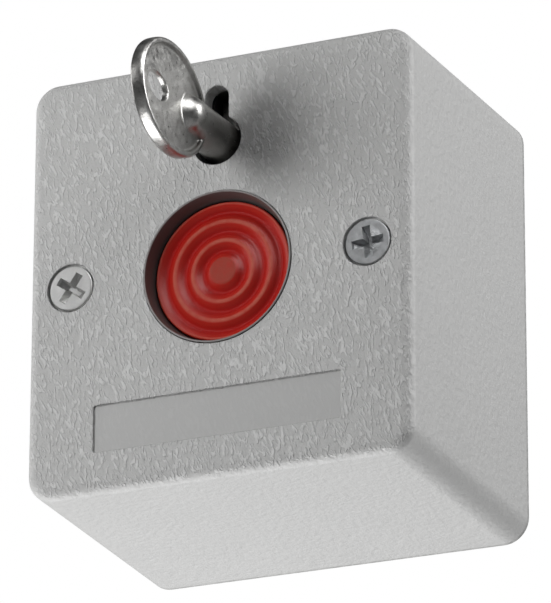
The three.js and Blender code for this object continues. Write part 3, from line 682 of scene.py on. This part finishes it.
def coil_spring(name, radius, wire, start, axis, length, turns, per_turn=24):
    """A helix of wire from start along axis, as a curve that is then made a mesh."""
    along = Vector(axis)
    across = Vector((1, 0, 0))
    up = along.cross(across)
    steps = round(turns * per_turn)
    curve = bpy.data.curves.new(name, "CURVE")
    curve.dimensions = "3D"
    curve.bevel_depth = wire * mm
    curve.bevel_resolution = 3
    curve.use_fill_caps = True
    path = curve.splines.new("POLY")
    path.points.add(steps)
    for i, point in enumerate(path.points):
        a = 2 * pi * turns * i / steps
        spot = Vector(start) + along * length * i / steps + (across * cos(a) + up * sin(a)) * radius
        point.co = (*(spot * mm), 1)
    spring = bpy.data.objects.new(name, curve)
    scene.collection.objects.link(spring)
    spring = apply_stack(spring)
    spring.data.shade_smooth()
    spring.data.materials.clear()
    spring.data.materials.append(steel_wire)
    return spring


button_spring = coil_spring("return_spring_coil", 3.7, 0.35, (0, -33.55, -0.55), (0, 1, 0), 6.1, 4.5)
latch_spring = coil_spring("latch_spring_coil", 1.6, 0.22, (0, -23.2, -14.58), (0, 0, 1), 3.46, 3.5)
arm_spring = coil_spring("contact_spring_coil", 1.8, 0.2, (0, -11.6, -4), (0, 1, 0), 6.1, 5)
for spring, node_name, joint, axis, anchor, keep in (
    (button_spring, "return_spring", "button_press", (0, 1, 0), (0, -27.1 * mm, 0), 0.48),
    (latch_spring, "latch_spring", "latch_slide", (0, 0, 1), (0, 0, -14.8 * mm), 0.49),
    (arm_spring, "contact_spring", "contact_swing", (0, 1, 0), (0, -5.3 * mm, 0), 0.56),
):
    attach(spring, "housing")
    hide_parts(node_name)
    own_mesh(spring)

# ------------------------------------------------------------------ back plate and inner mouldings
# The back plate is plain grey ABS and is screwed to the wall. The frame, the key rotor and the terminal block are
# black filled nylon, and the plunger natural nylon, all injection moulded.


def moulded(name, dark, light, low, high, scale, height, **constants):
    material, tree, shader = new_material(name, **constants)
    place = millimetres(tree)
    flow = noise(tree, place, scale, 3.0, 0.6, 0.4)
    tree.links.new(mix_color(tree, flow, (*dark, 1), (*light, 1)), shader.inputs["Base Color"])
    tree.links.new(ramp(tree, flow, 0.3, 0.7, low, high), shader.inputs["Roughness"])
    bump(tree, shader, math_node(tree, "MULTIPLY", noise(tree, place, 2.4, 3.0, 0.6), height))
    return material


def finish_nodes(material, *names):
    for name in names:
        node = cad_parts[name]
        node.data.materials.clear()
        node.data.materials.append(material)


finish_nodes(moulded("plain_grey_abs", (0.46, 0.46, 0.455), (0.54, 0.54, 0.535), 0.42, 0.55, 0.3, 0.02), "back_plate")
finish_nodes(
    moulded("black_filled_nylon", (0.012, 0.012, 0.013), (0.035, 0.034, 0.034), 0.38, 0.55, 0.5, 0.02),
    "mechanism_frame", "terminal_block", "key_rotor",
)
finish_nodes(
    moulded("natural_nylon", (0.62, 0.59, 0.51), (0.76, 0.73, 0.66), 0.32, 0.46, 0.4, 0.01,
            Subsurface_Weight=0.08, Subsurface_Scale=0.001),
    "plunger",
)

# ------------------------------------------------------------------ latch, contacts and small hardware
# The latch plate is blanked steel, the contact strips and arm are stamped brass, the terminal screws are turned
# brass and the clamps and other screws zinc-plated steel.


def worked_metal(name, dark, light, low, high, stretch, height):
    """Metal with the fine lines that rolling, drawing or turning leaves along it."""
    material, tree, shader = new_material(name, Metallic=1.0)
    lines = noise(tree, millimetres(tree, stretch), 3.0, 3.0, 0.6)
    stain = noise(tree, millimetres(tree), 0.5, 3.0, 0.6)
    tree.links.new(mix_color(tree, stain, (*dark, 1), (*light, 1)), shader.inputs["Base Color"])
    tree.links.new(ramp(tree, lines, 0.3, 0.7, low, high), shader.inputs["Roughness"])
    bump(tree, shader, math_node(tree, "MULTIPLY", lines, height))
    return material


finish_nodes(
    worked_metal("blanked_steel", (0.42, 0.42, 0.43), (0.60, 0.60, 0.60), 0.26, 0.44, (0.3, 3, 3), 0.006),
    "latch_slider",
)
finish_nodes(
    worked_metal("stamped_brass", (0.55, 0.40, 0.15), (0.80, 0.62, 0.28), 0.22, 0.40, (3, 3, 0.3), 0.005),
    "closed_contact", "open_contact", "common_contact", "contact_arm",
)
finish_nodes(
    worked_metal("turned_brass", (0.58, 0.43, 0.17), (0.84, 0.66, 0.31), 0.20, 0.36, (1, 4, 1), 0.004),
    "terminal_screw_closed", "terminal_screw_common", "terminal_screw_open",
)
finish_nodes(
    worked_metal("zinc_plated_steel", (0.50, 0.51, 0.52), (0.70, 0.70, 0.69), 0.28, 0.45, (1, 1, 1), 0.006),
    "wire_clamp_closed", "wire_clamp_common", "wire_clamp_open", "frame_screw_left", "frame_screw_right",
    "block_screw_left", "block_screw_right",
)
